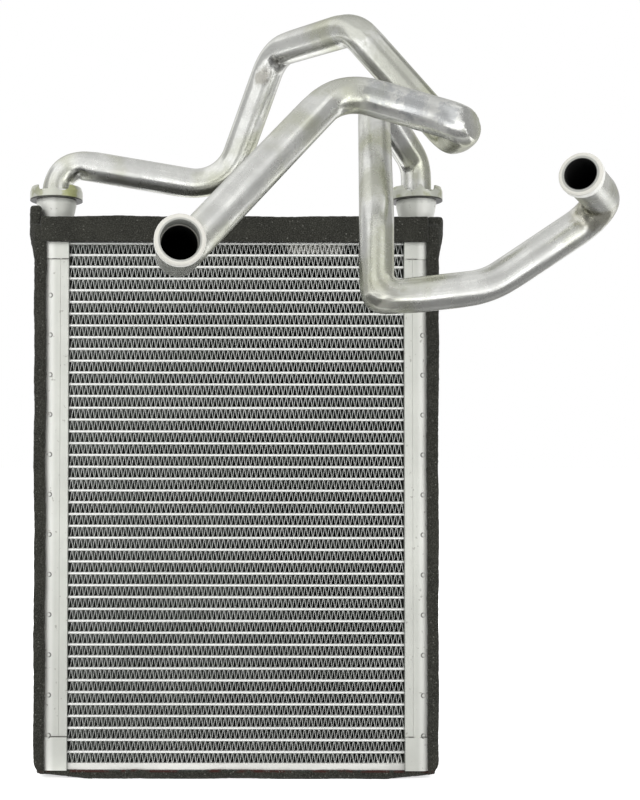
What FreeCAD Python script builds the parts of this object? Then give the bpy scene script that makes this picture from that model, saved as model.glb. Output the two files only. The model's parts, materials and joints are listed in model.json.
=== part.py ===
# Heater core: a brazed aluminium core of flat tubes and folded fins between two upright tanks,
# with foam sealing strips round its edge, and one bent coolant pipe crimped onto each tank's neck.
# Millimetres. X runs across the core, Y away from the side the pipe mouths point to, Z up.
# The origin is the middle of the flat underside of the bottom foam strip.

import FreeCAD, Part
import math
import os
from FreeCAD import Vector

# Core block
face_width = 176.0
core_depth = 24.0
tube_count = 44
tube_pitch = 6.2
tube_height = 1.3
tube_wall = 0.3
tube_reach = 1.0
fin_sheet = 0.25
fin_waves = 15
fin_end_gap = 1.0
slot_fit = 0.03

# Side plates above and below the fins
plate_overhang = 0.3
plate_sheet = 1.2
plate_leg = 3.4

# Tanks: a slotted header plate and a rounded cover each
tank_width = 16.0
tank_room = 0.3
tank_sheet = 1.2
tank_round = 7.0
header_lap = 4.4
header_corner = 1.0
seam_gap = 0.1
tongue_room = 0.4
tongue_sheet = 1.0
joggle_length = 1.6
lap_fit = 0.05

# End caps that sleeve over the tank ends
cap_sheet = 0.7
cap_plate = 1.2
cap_skirt = 17.4
cap_fit = 0.03

# Necks on the top caps
neck_offset = 0.8
neck_bore_radius = 5.0
neck_spigot_wall = 1.2
neck_shoulder = 1.6
neck_wall = 0.7
neck_cone_height = 13.0
neck_band_height = 3.8
neck_flange_sheet = 1.5
flange_reach = 2.0
spigot_fit = 0.03
socket_fit = 0.1
socket_depth = 5.5
seal_chamber_height = 3.8

# Seal ring between neck and pipe
seal_radius = 0.9
seal_fit = 0.05

# Crimp collars
collar_sheet = 1.3
collar_lip = 1.2
collar_rim_gap = 0.2
collar_nip = 0.8
collar_nip_height = 2.3
collar_fit = 0.1
notch_radius = 4.3
notch_depth = 3.7
notch_angle = 21.0

# Pipes
pipe_radius = 8.0
pipe_wall = 1.7
pipe_flange_sheet = 1.8
pipe_seat_gap = 0.3
bead_height = 0.95
bead_land = 3.0
bead_round = 0.9
counterbore_step = 0.6
counterbore_depth = 12.0

# Foam strips
foam_side_thickness = 1.7
foam_side_proud = 0.6
foam_wrap = 5.2
foam_left_inset = 1.8
foam_right_inset = 4.0
foam_bottom_thickness = 4.5
foam_top_thickness = 4.7
foam_flap_thickness = 2.5
foam_flap_drop = 8.7
foam_top_end_gap = 4.0
foam_bulge = 2.4
foam_bulge_start = 18.0
foam_bulge_full = 5.0
foam_left_rise = 11.0
foam_right_rise = 5.2
foam_fit = 0.1
foam_clear = 0.3

# Where each pipe's straight runs would meet, measured from the middle of its flange's upper face:
# x, y, z and the radius of the bend there. The last point is the open mouth.
left_route = [
    (0.0, 0.0, 17.5, 13.0),
    (90.9, -1.5, 1.8, 24.0),
    (116.7, -15.9, 71.3, 14.0),
    (151.4, -72.8, 63.8, 11.0),
    (196.7, -80.6, 8.5, 10.5),
    (195.5, -120.5, 4.6, 9.5),
    (140.3, -114.9, 22.3, 20.0),
    (70.9, -161.1, -59.6, 16.0),
    (74.9, -223.1, -61.9, 0.0),
]
right_route = [
    (0.0, 0.0, 15.8, 14.0),
    (-26.9, -30.3, 42.9, 14.0),
    (-33.5, -87.8, -28.1, 40.0),
    (-35.7, -101.9, -68.6, 10.0),
    (15.4, -98.0, -62.3, 32.0),
    (68.7, -101.8, -26.5, 13.0),
    (40.3, -149.9, -22.9, 0.0),
]

# Sizes and places across the core that follow from the sizes above
header_face = face_width / 2
plate_depth = core_depth + 2 * plate_overhang
tank_depth = core_depth + 2 * (tank_sheet + tank_room)
tank_outer = header_face + tank_width
cap_outer = tank_outer + cap_sheet
cap_front = tank_depth / 2 + cap_sheet
neck_x = header_face + tank_width / 2 + neck_offset
foam_front = tank_depth / 2 + foam_side_proud
foam_corner = foam_side_thickness

# Levels of the core, from the underside of the bottom foam
fin_height = tube_pitch - tube_height
core_low = foam_bottom_thickness
fins_low = core_low + plate_leg
fins_high = fins_low + (tube_count + 1) * fin_height + tube_count * tube_height
core_high = fins_high + plate_leg

# Radii of the neck, the seal and the joint with the pipe
neck_spigot_radius = neck_bore_radius + neck_spigot_wall
neck_base_radius = neck_spigot_radius + neck_shoulder
seal_chamber_radius = pipe_radius + 2 * (seal_radius + seal_fit)
neck_top_radius = seal_chamber_radius + neck_wall
flange_radius = neck_top_radius + flange_reach
collar_radius = flange_radius + collar_fit + collar_sheet
pipe_bore_radius = pipe_radius - pipe_wall
bead_radius = pipe_radius + bead_height

# Levels of the neck, the seal and the joint, from the top of the tank
neck_flange_low = neck_cone_height + neck_band_height
neck_flange_high = neck_flange_low + neck_flange_sheet
pipe_flange_high = neck_flange_high + pipe_flange_sheet
seal_chamber_level = neck_flange_high - seal_chamber_height
socket_level = seal_chamber_level - socket_depth
pipe_root = socket_level + pipe_seat_gap
collar_low = neck_flange_low - collar_lip
collar_nip_level = pipe_flange_high + collar_rim_gap
collar_high = collar_nip_level + collar_nip_height

UP = Vector(0, 0, 1)


def box(x0, x1, y0, y1, z0, z1):
    return Part.makeBox(x1 - x0, y1 - y0, z1 - z0, Vector(x0, y0, z0))


def outline(steps):
    """Closed face from points; a step of two points is an arc through the first to the second."""
    edges = []
    here = steps[0]
    for step in steps[1:]:
        if isinstance(step, tuple):
            edges.append(Part.Arc(here, step[0], step[1]).toShape())
            here = step[1]
        else:
            edges.append(Part.LineSegment(here, step).toShape())
            here = step
    if here.distanceToPoint(steps[0]) > 1e-6:
        edges.append(Part.LineSegment(here, steps[0]).toShape())
    return Part.Face(Part.Wire(edges))


def revolved(points):
    """Solid of revolution about the upright axis from radius and height pairs."""
    ring = [Vector(r, 0, z) for r, z in points]
    return outline(ring).revolve(Vector(0, 0, 0), UP, 360)


def mirrored(shape):
    return shape.mirror(Vector(0, 0, 0), Vector(1, 0, 0))


def obround(width, height, length, x0, z):
    """Flat tube outline, rounded at its front and back edges, extruded across the core."""
    round_radius = height / 2
    flat = width / 2 - round_radius
    face = outline([
        Vector(x0, -flat, z - round_radius),
        Vector(x0, flat, z - round_radius),
        (Vector(x0, flat + round_radius, z), Vector(x0, flat, z + round_radius)),
        Vector(x0, -flat, z + round_radius),
        (Vector(x0, -flat - round_radius, z), Vector(x0, -flat, z - round_radius)),
    ])
    return face.extrude(Vector(length, 0, 0))


def tube_level(index):
    return fins_low + fin_height + tube_height / 2 + index * tube_pitch


def flat_tubes():
    """All tubes: rounded outside, and inside a flat channel that ends where the rounding starts."""
    half_length = face_width / 2 + tank_sheet + tube_reach
    half_channel = (core_depth - tube_height) / 2
    half_room = tube_height / 2 - tube_wall
    tubes = []
    for index in range(tube_count):
        z = tube_level(index)
        skin = obround(core_depth, tube_height, 2 * half_length, -half_length, z)
        channel = box(-half_length, half_length, -half_channel, half_channel, z - half_room, z + half_room)
        tubes.append(skin.cut(channel))
    return Part.makeCompound(tubes)


def fin_strip(z0):
    """One folded strip, its crests against the tubes above and below it."""
    length = face_width - 2 * fin_end_gap
    half_wave = length / (2 * fin_waves)
    slope = math.atan2(fin_height, half_wave)
    upright = fin_sheet / math.cos(slope)
    upper = []
    lower = []
    for index in range(2 * fin_waves + 1):
        x = -length / 2 + index * half_wave
        z = z0 if index % 2 == 0 else z0 + fin_height - upright
        lower.append(Vector(x, -core_depth / 2, z))
        upper.append(Vector(x, -core_depth / 2, z + upright))
    return outline(lower + upper[::-1]).extrude(Vector(0, core_depth, 0))


def fin_rows():
    return Part.makeCompound([fin_strip(fins_low + row * tube_pitch) for row in range(tube_count + 1)])


def side_plate(web_z, leg_z):
    """Channel across the core: a flat web on the fins and two legs turned away from them."""
    low = min(web_z, leg_z)
    high = max(web_z, leg_z)
    half = plate_depth / 2
    channel = box(-header_face, header_face, -half, half, low, high)
    inner_low = low if leg_z < web_z else low + plate_sheet
    inner_high = high - plate_sheet if leg_z < web_z else high
    hollow = box(-header_face, header_face, -half + plate_sheet, half - plate_sheet, inner_low, inner_high)
    return channel.cut(hollow)


def header_plate():
    """Right header: a shallow channel with a slot for each tube."""
    half = tank_depth / 2
    lap_end = header_face + header_lap
    z0 = core_low + cap_plate
    z1 = core_high - cap_plate
    block = box(header_face, lap_end, -half, half, z0, z1)
    corners = [edge for edge in block.Edges
               if abs(edge.BoundBox.XMin - header_face) < 1e-6
               and abs(edge.BoundBox.XMax - header_face) < 1e-6
               and edge.BoundBox.ZLength > header_corner]
    block = block.makeFillet(header_corner, corners)
    hollow = box(header_face + tank_sheet, lap_end, -half + tank_sheet, half - tank_sheet, z0, z1)
    channel = block.cut(hollow)
    slots = [obround(core_depth + 2 * slot_fit, tube_height + 2 * slot_fit, tank_sheet * 3,
                     header_face - tank_sheet, tube_level(index)) for index in range(tube_count)]
    return channel.cut(Part.makeCompound(slots))


def cover_section(grow, x_start, z):
    """Outline of a tank grown by an amount, flat towards the core and rounded on its outer side."""
    half = tank_depth / 2 + grow
    radius = tank_round + grow
    outer = tank_outer + grow
    turn = radius * (1 - math.cos(math.pi / 4))
    return outline([
        Vector(x_start, -half, z),
        Vector(outer - radius, -half, z),
        (Vector(outer - turn, -half + turn, z), Vector(outer, -half + radius, z)),
        Vector(outer, half - radius, z),
        (Vector(outer - turn, half - turn, z), Vector(outer - radius, half, z)),
        Vector(x_start, half, z),
    ])


def tank_cover():
    """Right cover: its edges step in behind the header's edges, so the outside is flush."""
    z0 = core_low + cap_plate
    z1 = core_high - cap_plate
    lift = Vector(0, 0, z1 - z0)
    shoulder = header_face + header_lap + seam_gap
    shell = cover_section(0.0, shoulder, z0).extrude(lift)
    hollow = cover_section(-tank_sheet, shoulder, z0).extrude(lift)
    tongue_outer = tank_depth / 2 - tank_sheet - lap_fit
    tongue_inner = tongue_outer - tongue_sheet
    tongue_end = header_face + tank_sheet + tube_reach + tongue_room
    cover = shell.cut(hollow)
    for side in (-1, 1):
        near, far = sorted((side * tongue_inner, side * tongue_outer))
        cover = cover.fuse(box(tongue_end, shoulder + joggle_length, near, far, z0, z1))
        near, far = sorted((side * tongue_outer, side * (tank_depth / 2 - tank_sheet)))
        cover = cover.fuse(box(shoulder, shoulder + joggle_length, near, far, z0, z1))
    return cover.removeSplitter()


def end_cap(bottom):
    """Right end cap: an end plate and a skirt round the three outer sides of the tank."""
    z_end = core_low if bottom else core_high
    inward = 1 if bottom else -1
    whole = cover_section(cap_sheet, header_face, z_end).extrude(Vector(0, 0, inward * cap_skirt))
    z_plate = z_end + inward * cap_plate
    reach = Vector(0, 0, inward * (cap_skirt - cap_plate))
    room = cover_section(cap_fit, header_face, z_plate).extrude(reach)
    cap = whole.cut(room)
    if not bottom:
        hole = Part.makeCylinder(neck_spigot_radius + spigot_fit, 3 * cap_plate,
                                 Vector(neck_x, 0, z_end - 2 * cap_plate))
        cap = cap.cut(hole)
    return cap


def neck():
    """Right neck: a cone that widens upwards to a flange, bored for the pipe and its seal."""
    ring = revolved([
        (neck_bore_radius, -cap_plate),
        (neck_spigot_radius, -cap_plate),
        (neck_spigot_radius, 0.0),
        (neck_base_radius, 0.0),
        (neck_top_radius, neck_cone_height),
        (neck_top_radius, neck_flange_low),
        (flange_radius, neck_flange_low),
        (flange_radius, neck_flange_high),
        (seal_chamber_radius, neck_flange_high),
        (seal_chamber_radius, seal_chamber_level),
        (pipe_radius + socket_fit, seal_chamber_level),
        (pipe_radius + socket_fit, socket_level),
        (pipe_bore_radius, socket_level),
    ])
    ring.translate(Vector(neck_x, 0, core_high))
    return ring


def seal_ring():
    """Round rubber ring in the chamber, between the neck's wall and the pipe."""
    ring = Part.makeTorus(pipe_radius + seal_fit + seal_radius, seal_radius)
    ring.translate(Vector(neck_x, 0, core_high + seal_chamber_level + seal_radius))
    return ring


def crimp_collar():
    """Right collar: a ring round both flanges, its notched upper rim nipped in over the pipe's flange."""
    inner = collar_radius - collar_sheet
    ring = revolved([
        (neck_top_radius + collar_fit, collar_low),
        (collar_radius, collar_low),
        (collar_radius, collar_nip_level),
        (collar_radius - collar_nip, collar_high),
        (inner - collar_nip, collar_high),
        (inner, collar_nip_level),
        (inner, collar_low + collar_lip),
        (neck_top_radius + collar_fit, collar_low + collar_lip),
    ])
    centre_z = collar_high - notch_depth + notch_radius
    for facing in (-90, 90):
        for swing in (-notch_angle, notch_angle):
            turn = math.radians(facing + swing)
            outward = Vector(math.cos(turn), math.sin(turn), 0)
            notch = Part.makeCylinder(notch_radius, 2 * collar_radius, Vector(0, 0, centre_z), outward)
            ring = ring.cut(notch)
    ring.translate(Vector(neck_x, 0, core_high))
    return ring


def pipe_path(route, seat):
    """Straight runs joined by tangent arcs, from the socket in the neck to the mouth."""
    corners = [seat + Vector(x, y, z) for x, y, z, radius in route]
    radii = [radius for x, y, z, radius in route]
    here = seat - UP * (pipe_flange_high - pipe_root)
    before = here
    edges = []
    for index in range(len(corners) - 1):
        corner = corners[index]
        arrive = (corner - before).normalize()
        leave = (corners[index + 1] - corner).normalize()
        turn = arrive.getAngle(leave)
        tangent = radii[index] * math.tan(turn / 2)
        start = corner - arrive * tangent
        end = corner + leave * tangent
        inwards = (leave - arrive).normalize()
        middle = corner + inwards * (radii[index] / math.cos(turn / 2) - radii[index])
        edges.append(Part.LineSegment(here, start).toShape())
        edges.append(Part.Arc(start, middle, end).toShape())
        here = end
        before = corner
    edges.append(Part.LineSegment(here, corners[-1]).toShape())
    mouth_direction = (corners[-1] - corners[-2]).normalize()
    return Part.Wire(edges), corners[-1], mouth_direction


def swept(path, start, radius):
    ring = Part.Wire(Part.makeCircle(radius, start, UP))
    return path.makePipeShell([ring], True, False)


def mouth_bead(mouth, direction):
    """Rolled bead at the mouth: a round-nosed land that the hose is clamped behind."""
    back = bead_land + 2 * bead_round
    nose = bead_radius - bead_round
    dip = bead_round * (1 - math.cos(math.pi / 4))
    face = outline([
        Vector(pipe_bore_radius, 0, 0),
        Vector(nose, 0, 0),
        (Vector(bead_radius - dip, 0, -dip), Vector(bead_radius, 0, -bead_round)),
        Vector(bead_radius, 0, -bead_round - bead_land),
        (Vector(bead_radius - dip, 0, -back + dip), Vector(nose, 0, -back)),
        Vector(pipe_bore_radius, 0, -back),
    ])
    bead = face.revolve(Vector(0, 0, 0), UP, 360)
    bead.Placement = FreeCAD.Placement(mouth, FreeCAD.Rotation(UP, direction))
    return bead


def pipe(route, side, counterbored):
    """Bent pipe with its flange and mouth bead; the volume it prints is close to wall times length."""
    seat = Vector(side * neck_x, 0, core_high + pipe_flange_high)
    path, mouth, direction = pipe_path(route, seat)
    start = seat - UP * (pipe_flange_high - pipe_root)
    flange = Part.makeCylinder(flange_radius, pipe_flange_sheet, seat - UP * pipe_flange_sheet)
    body = swept(path, start, pipe_radius).fuse(flange).fuse(mouth_bead(mouth, direction))
    body = body.cut(swept(path, start, pipe_bore_radius))
    if counterbored:
        sink = Part.makeCylinder(pipe_bore_radius + counterbore_step, 2 * counterbore_depth,
                                 mouth - direction * counterbore_depth, direction)
        body = body.cut(sink)
    section = math.pi * (pipe_radius ** 2 - pipe_bore_radius ** 2)
    print("pipe", side, round(path.Length, 1), round(body.Volume), round(section * path.Length))
    return body.removeSplitter()


def foam_bottom():
    return box(-tank_outer, tank_outer, -foam_front, foam_front, 0, foam_bottom_thickness)


def foam_top():
    """Strip on top of the core between the necks, folded down over the front from tank to tank."""
    flap_back = -cap_front - foam_fit
    high = core_high + foam_top_thickness
    flap = box(-cap_outer + foam_left_inset, cap_outer - foam_right_inset, flap_back - foam_flap_thickness,
               flap_back, core_high - foam_flap_drop, high)
    reach = neck_x - neck_top_radius - foam_top_end_gap
    slab = box(-reach, reach, flap_back, plate_depth / 2, core_high, high)
    return flap.fuse(slab).removeSplitter()


def foam_side(rise, inset):
    """Right side strip: wraps the rounded cover, bulges near the top and rises past the top strip's end."""
    wrap = cap_outer - foam_wrap
    inner = cap_outer - inset - foam_clear
    outer = cap_outer + foam_side_thickness
    high = core_high + rise
    round_top = foam_corner * (1 - math.cos(math.pi / 4))
    face = outline([
        Vector(tank_outer + foam_clear, -foam_front, 0),
        Vector(outer - foam_corner, -foam_front, 0),
        (Vector(outer - round_top, -foam_front, round_top), Vector(outer, -foam_front, foam_corner)),
        Vector(outer, -foam_front, core_high - foam_bulge_start),
        Vector(outer + foam_bulge, -foam_front, core_high - foam_bulge_full),
        Vector(outer + foam_bulge, -foam_front, high - foam_corner),
        (Vector(outer + foam_bulge - round_top, -foam_front, high - round_top),
         Vector(outer + foam_bulge - foam_corner, -foam_front, high)),
        Vector(inner, -foam_front, high),
        Vector(inner, -foam_front, core_high),
        Vector(wrap, -foam_front, core_high),
        Vector(wrap, -foam_front, core_low + foam_clear),
        Vector(tank_outer + foam_clear, -foam_front, core_low + foam_clear),
    ])
    strip = face.extrude(Vector(0, 2 * foam_front, 0))
    tank = cover_section(foam_fit, 0.0, core_low).extrude(Vector(0, 0, core_high - core_low))
    strip = strip.cut(tank)
    top_cap = cover_section(cap_sheet + foam_fit, 0.0, core_high - cap_skirt)
    strip = strip.cut(top_cap.extrude(Vector(0, 0, cap_skirt)))
    low_cap = cover_section(cap_sheet + foam_fit, 0.0, core_low)
    strip = strip.cut(low_cap.extrude(Vector(0, 0, cap_skirt)))
    round_neck = Part.makeCylinder(neck_top_radius + foam_clear, 2 * rise, Vector(neck_x, 0, core_high))
    return strip.cut(round_neck)


def export(name, shape):
    if not shape.isValid():
        print("NOT VALID", name)
    shape.exportStep("parts/" + name + ".step")
    print(name, len(shape.Solids), round(shape.Volume))


os.makedirs("parts", exist_ok=True)

export("flat_tubes", flat_tubes())
export("fin_rows", fin_rows())
export("bottom_side_plate", side_plate(fins_low, core_low))
export("top_side_plate", side_plate(fins_high, core_high))

paired = {
    "header_plate": header_plate(),
    "tank_cover": tank_cover(),
    "top_cap": end_cap(False),
    "bottom_cap": end_cap(True),
    "neck": neck(),
    "seal_ring": seal_ring(),
    "crimp_collar": crimp_collar(),
}
for piece, shape in paired.items():
    export("right_" + piece, shape)
    export("left_" + piece, mirrored(shape))

export("left_pipe", pipe(left_route, -1, True))
export("right_pipe", pipe(right_route, 1, False))
export("bottom_foam", foam_bottom())
export("top_foam", foam_top())
export("left_foam", mirrored(foam_side(foam_left_rise, foam_left_inset)))
export("right_foam", foam_side(foam_right_rise, foam_right_inset))
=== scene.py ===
# Looks of the heater core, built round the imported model: folded fins, foam sealing strips, drawn
# pipes and brazed metal, with the floor, the light and the camera. Metres, in the model's own frame.

import json
import math

import bpy
from bpy.props import FloatProperty, FloatVectorProperty, IntProperty, PointerProperty
from mathutils import Matrix, Vector

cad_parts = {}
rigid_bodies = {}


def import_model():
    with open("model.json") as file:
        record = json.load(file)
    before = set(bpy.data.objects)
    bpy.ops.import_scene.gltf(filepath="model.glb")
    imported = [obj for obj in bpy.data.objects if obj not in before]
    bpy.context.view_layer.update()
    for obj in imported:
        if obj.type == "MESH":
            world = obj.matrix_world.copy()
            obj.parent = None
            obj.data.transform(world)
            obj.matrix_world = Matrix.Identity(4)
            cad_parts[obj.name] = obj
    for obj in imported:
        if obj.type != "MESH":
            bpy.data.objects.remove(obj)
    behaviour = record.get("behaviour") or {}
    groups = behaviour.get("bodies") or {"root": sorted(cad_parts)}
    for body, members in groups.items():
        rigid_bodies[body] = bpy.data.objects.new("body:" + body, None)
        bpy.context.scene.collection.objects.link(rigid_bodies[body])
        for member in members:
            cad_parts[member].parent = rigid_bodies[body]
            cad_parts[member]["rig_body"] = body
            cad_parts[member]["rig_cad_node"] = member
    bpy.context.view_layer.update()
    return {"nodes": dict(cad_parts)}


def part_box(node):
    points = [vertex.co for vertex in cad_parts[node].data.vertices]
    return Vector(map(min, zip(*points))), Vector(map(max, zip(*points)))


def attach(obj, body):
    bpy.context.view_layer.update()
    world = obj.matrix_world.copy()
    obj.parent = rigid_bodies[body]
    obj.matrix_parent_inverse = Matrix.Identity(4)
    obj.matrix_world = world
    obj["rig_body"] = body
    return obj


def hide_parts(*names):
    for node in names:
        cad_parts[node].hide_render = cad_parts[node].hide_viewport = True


bl_info = {
    "name": "Heater core looks",
    "version": (1, 0, 0),
    "blender": (4, 5, 0),
    "location": "View3D > Sidebar > Heater core",
    "description": "Folds the fins, lays the foam and finishes the metal of a heater core",
    "category": "Add Mesh",
}

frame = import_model()
nodes = frame["nodes"]
tiny = 1e-5
origin = (0.0, 0.0, 0.0)


# Selecting, shaping and finishing

def object_mode():
    bpy.ops.object.mode_set(mode="OBJECT")


def edit_all():
    """Opens the active object in edit mode with all of it selected."""
    bpy.ops.object.mode_set(mode="EDIT")
    bpy.ops.mesh.select_all(action="SELECT")


def rest():
    """Object mode with nothing selected."""
    if bpy.context.object and bpy.context.object.mode != "OBJECT":
        object_mode()
    bpy.ops.object.select_all(action="DESELECT")


def make_active(obj):
    rest()
    obj.select_set(True)
    bpy.context.view_layer.objects.active = obj


def pick(obj, test):
    """Opens obj in edit mode with only the vertices selected whose place passes the test."""
    make_active(obj)
    bpy.ops.object.mode_set(mode="EDIT")
    bpy.ops.mesh.select_mode(type="VERT")
    bpy.ops.mesh.select_all(action="DESELECT")
    object_mode()
    for vertex in obj.data.vertices:
        vertex.select = test(vertex.co)
    bpy.ops.object.mode_set(mode="EDIT")


def apply_place(obj):
    """Puts the object's place into its mesh, so that the object sits at the origin."""
    make_active(obj)
    bpy.ops.object.transform_apply(location=True, rotation=True, scale=True)


def modify(obj, kind, **settings):
    """Adds a modifier with these settings and applies it."""
    make_active(obj)
    bpy.ops.object.modifier_add(type=kind)
    modifier = obj.modifiers[-1]
    for name, value in settings.items():
        setattr(modifier, name, value)
    bpy.ops.object.modifier_apply(modifier=modifier.name)


def copy_of(obj, name):
    """A free copy with a mesh of its own."""
    make_active(obj)
    bpy.ops.object.duplicate(linked=False)
    copy = bpy.context.object
    copy.parent = None
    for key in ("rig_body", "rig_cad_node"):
        if key in copy:
            del copy[key]
    copy.name = name
    copy.data.name = name
    return copy


def joined(pieces, name):
    rest()
    for piece in pieces:
        piece.select_set(True)
    bpy.context.view_layer.objects.active = pieces[0]
    bpy.ops.object.join()
    whole = bpy.context.object
    whole.name = name
    whole.data.name = name
    return whole


def smooth(obj, degrees):
    make_active(obj)
    bpy.ops.object.shade_smooth_by_angle(angle=math.radians(degrees))


def dress(obj, material):
    obj.data.materials.clear()
    obj.data.materials.append(material)


# Node trees

def put(tree, kind, settings=None, **inputs):
    """Adds a node, sets its own settings, and sets or links its inputs by name."""
    node = tree.nodes.new(kind)
    for name, value in (settings or {}).items():
        setattr(node, name, value)
    for name, value in inputs.items():
        feed(tree, node, name.replace("_", " "), value)
    return node


def feed(tree, node, name, value):
    """Sets one input to a value, or links it to another node's output."""
    if isinstance(name, int):
        socket = node.inputs[name]
    else:
        socket = next(s for s in node.inputs if s.name == name and s.enabled)
    if isinstance(value, bpy.types.NodeSocket):
        tree.links.new(value, socket)
    else:
        socket.default_value = value


def calculate(tree, kind, settings, *values):
    """Adds a node, sets its own settings, and sets or links its inputs in their order."""
    node = put(tree, kind, settings)
    for index, value in enumerate(values):
        feed(tree, node, index, value)
    return node.outputs


def maths(tree, operation, first, second=0.0):
    return calculate(tree, "ShaderNodeMath", {"operation": operation}, first, second)[0]


def vectors(tree, operation, *values):
    return calculate(tree, "ShaderNodeVectorMath", {"operation": operation}, *values)


def times(tree, first, second):
    return maths(tree, "MULTIPLY", first, second)


def hypotenuse(tree, first, second):
    squares = maths(tree, "ADD", times(tree, first, first), times(tree, second, second))
    return maths(tree, "SQRT", squares)


def axes_of(tree, vector):
    return put(tree, "ShaderNodeSeparateXYZ", Vector=vector).outputs


def ramp(tree, value, low, high, to_low=0.0, to_high=1.0):
    return calculate(tree, "ShaderNodeMapRange", {"interpolation_type": "SMOOTHSTEP"},
                     value, low, high, to_low, to_high)[0]


def band(tree, value, low, rise, fall, high):
    """One between two levels, and zero outside them, with soft edges."""
    return times(tree, ramp(tree, value, low, rise), ramp(tree, value, fall, high, 1.0, 0.0))


def blend_colours(tree, amount, first, second, how="MIX"):
    node = put(tree, "ShaderNodeMix", {"data_type": "RGBA", "blend_type": how})
    feed(tree, node, 0, amount)
    feed(tree, node, 6, first)
    feed(tree, node, 7, second)
    return node.outputs[2]


def new_group(name, inputs, outputs):
    """A shader node group with named inputs, which are given with their defaults, and outputs."""
    group = bpy.data.node_groups.new(name, "ShaderNodeTree")
    for label, default in inputs.items():
        kind = "NodeSocketVector" if isinstance(default, tuple) else "NodeSocketFloat"
        group.interface.new_socket(label, in_out="INPUT", socket_type=kind).default_value = default
    for label in outputs:
        group.interface.new_socket(label, in_out="OUTPUT", socket_type="NodeSocketFloat")
    given = group.nodes.new("NodeGroupInput")
    result = group.nodes.new("NodeGroupOutput")
    return group, given.outputs, result


def use_group(tree, group, **inputs):
    node = tree.nodes.new("ShaderNodeGroup")
    node.node_tree = group
    for name, value in inputs.items():
        feed(tree, node, name.replace("_", " "), value)
    return node.outputs


def noise(tree, vector, scale, detail=3.0, roughness=0.5):
    return put(tree, "ShaderNodeTexNoise", Vector=vector, Scale=scale, Detail=detail,
               Roughness=roughness).outputs[0]


def grain_group():
    """Cloudy drift of the surface and the fine grain of rolled or drawn metal."""
    inputs = {"Vector": origin, "Drift scale": 40.0, "Grain scale": 1500.0, "Stretch": (1.0, 1.0, 1.0)}
    group, given, result = new_group("Rolled grain", inputs, ("Drift", "Grain"))
    drift = noise(group, given["Vector"], given["Drift scale"], 5.0, 0.6)
    pulled = vectors(group, "MULTIPLY", given["Vector"], given["Stretch"])[0]
    grain = noise(group, pulled, given["Grain scale"], 2.0, 0.5)
    feed(group, result, "Drift", ramp(group, drift, 0.3, 0.7))
    feed(group, result, "Grain", grain)
    return group


def scuff_group():
    """Thin scratches and rubbed patches from handling."""
    inputs = {"Vector": origin, "Scale": 120.0, "Cover": 0.5}
    group, given, result = new_group("Handling scuffs", inputs, ("Scratch", "Patch"))
    bend = put(group, "ShaderNodeTexNoise", Vector=given["Vector"], Scale=30.0, Detail=2.0)
    pushed = vectors(group, "MULTIPLY_ADD", bend.outputs[1], (0.02, 0.02, 0.02), given["Vector"])[0]
    cracks = put(group, "ShaderNodeTexVoronoi", {"feature": "DISTANCE_TO_EDGE"},
                 Vector=pushed, Scale=given["Scale"])
    line = ramp(group, cracks.outputs[0], 0.0, 0.02, 1.0, 0.0)
    where = noise(group, given["Vector"], 55.0, 4.0, 0.6)
    least = maths(group, "SUBTRACT", 0.75, times(group, given["Cover"], 0.3))
    shown = ramp(group, where, least, 0.8)
    feed(group, result, "Scratch", times(group, line, shown))
    feed(group, result, "Patch", shown)
    return group


def spot_group():
    """A soft spot round a centre, with a ragged edge."""
    inputs = {"Vector": origin, "Centre": origin, "Radius": 0.01, "Ragged": 0.3}
    group, given, result = new_group("Spot", inputs, ("Mask",))
    away = vectors(group, "DISTANCE", given["Vector"], given["Centre"])["Value"]
    share = maths(group, "DIVIDE", away, given["Radius"])
    rag = maths(group, "SUBTRACT", noise(group, given["Vector"], 350.0, 4.0, 0.6), 0.5)
    wobble = times(group, rag, times(group, given["Ragged"], 2.0))
    wobbled = maths(group, "ADD", share, wobble)
    feed(group, result, "Mask", ramp(group, wobbled, 0.5, 1.0, 1.0, 0.0))
    return group


def cell_group():
    """Open cells of foam and the pale specks caught in it."""
    inputs = {"Vector": origin, "Cell scale": 1400.0, "Speck scale": 750.0}
    group, given, result = new_group("Foam cells", inputs, ("Cells", "Specks", "Drift"))
    cells = put(group, "ShaderNodeTexVoronoi", Vector=given["Vector"], Scale=given["Cell scale"])
    specks = put(group, "ShaderNodeTexVoronoi", Vector=given["Vector"], Scale=given["Speck scale"])
    chosen = put(group, "ShaderNodeSeparateColor", Color=specks.outputs["Color"])
    small = ramp(group, specks.outputs["Distance"], 0.1, 0.4, 1.0, 0.0)
    few = ramp(group, chosen.outputs[0], 0.72, 1.0)
    feed(group, result, "Cells", cells.outputs["Distance"])
    feed(group, result, "Specks", times(group, small, few))
    feed(group, result, "Drift", ramp(group, noise(group, given["Vector"], 90.0, 4.0, 0.6), 0.3, 0.7))
    return group


def bare_material(name, kind):
    """A material that holds only a shader of this kind and its output."""
    material = bpy.data.materials.new(name)
    material.use_nodes = True
    tree = material.node_tree
    tree.nodes.clear()
    shader = tree.nodes.new(kind)
    output = tree.nodes.new("ShaderNodeOutputMaterial")
    tree.links.new(shader.outputs[0], output.inputs[0])
    return material, tree, shader


def new_material(name):
    """A material with its shader and the object's own coordinates."""
    material, tree, shader = bare_material(name, "ShaderNodeBsdfPrincipled")
    place = tree.nodes.new("ShaderNodeTexCoord").outputs["Object"]
    return material, tree, shader, place


def stain(tree, place, body, centre, radius, ragged, amount, tint):
    """The body colour with one ragged spot of another tint on it."""
    spot = use_group(tree, groups["spot"], Vector=place, Centre=centre, Radius=radius, Ragged=ragged)
    return blend_colours(tree, times(tree, spot["Mask"], amount), body, tint)


def lightened(tint, share):
    return tuple(share * part for part in tint[:3]) + (1.0,)


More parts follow.
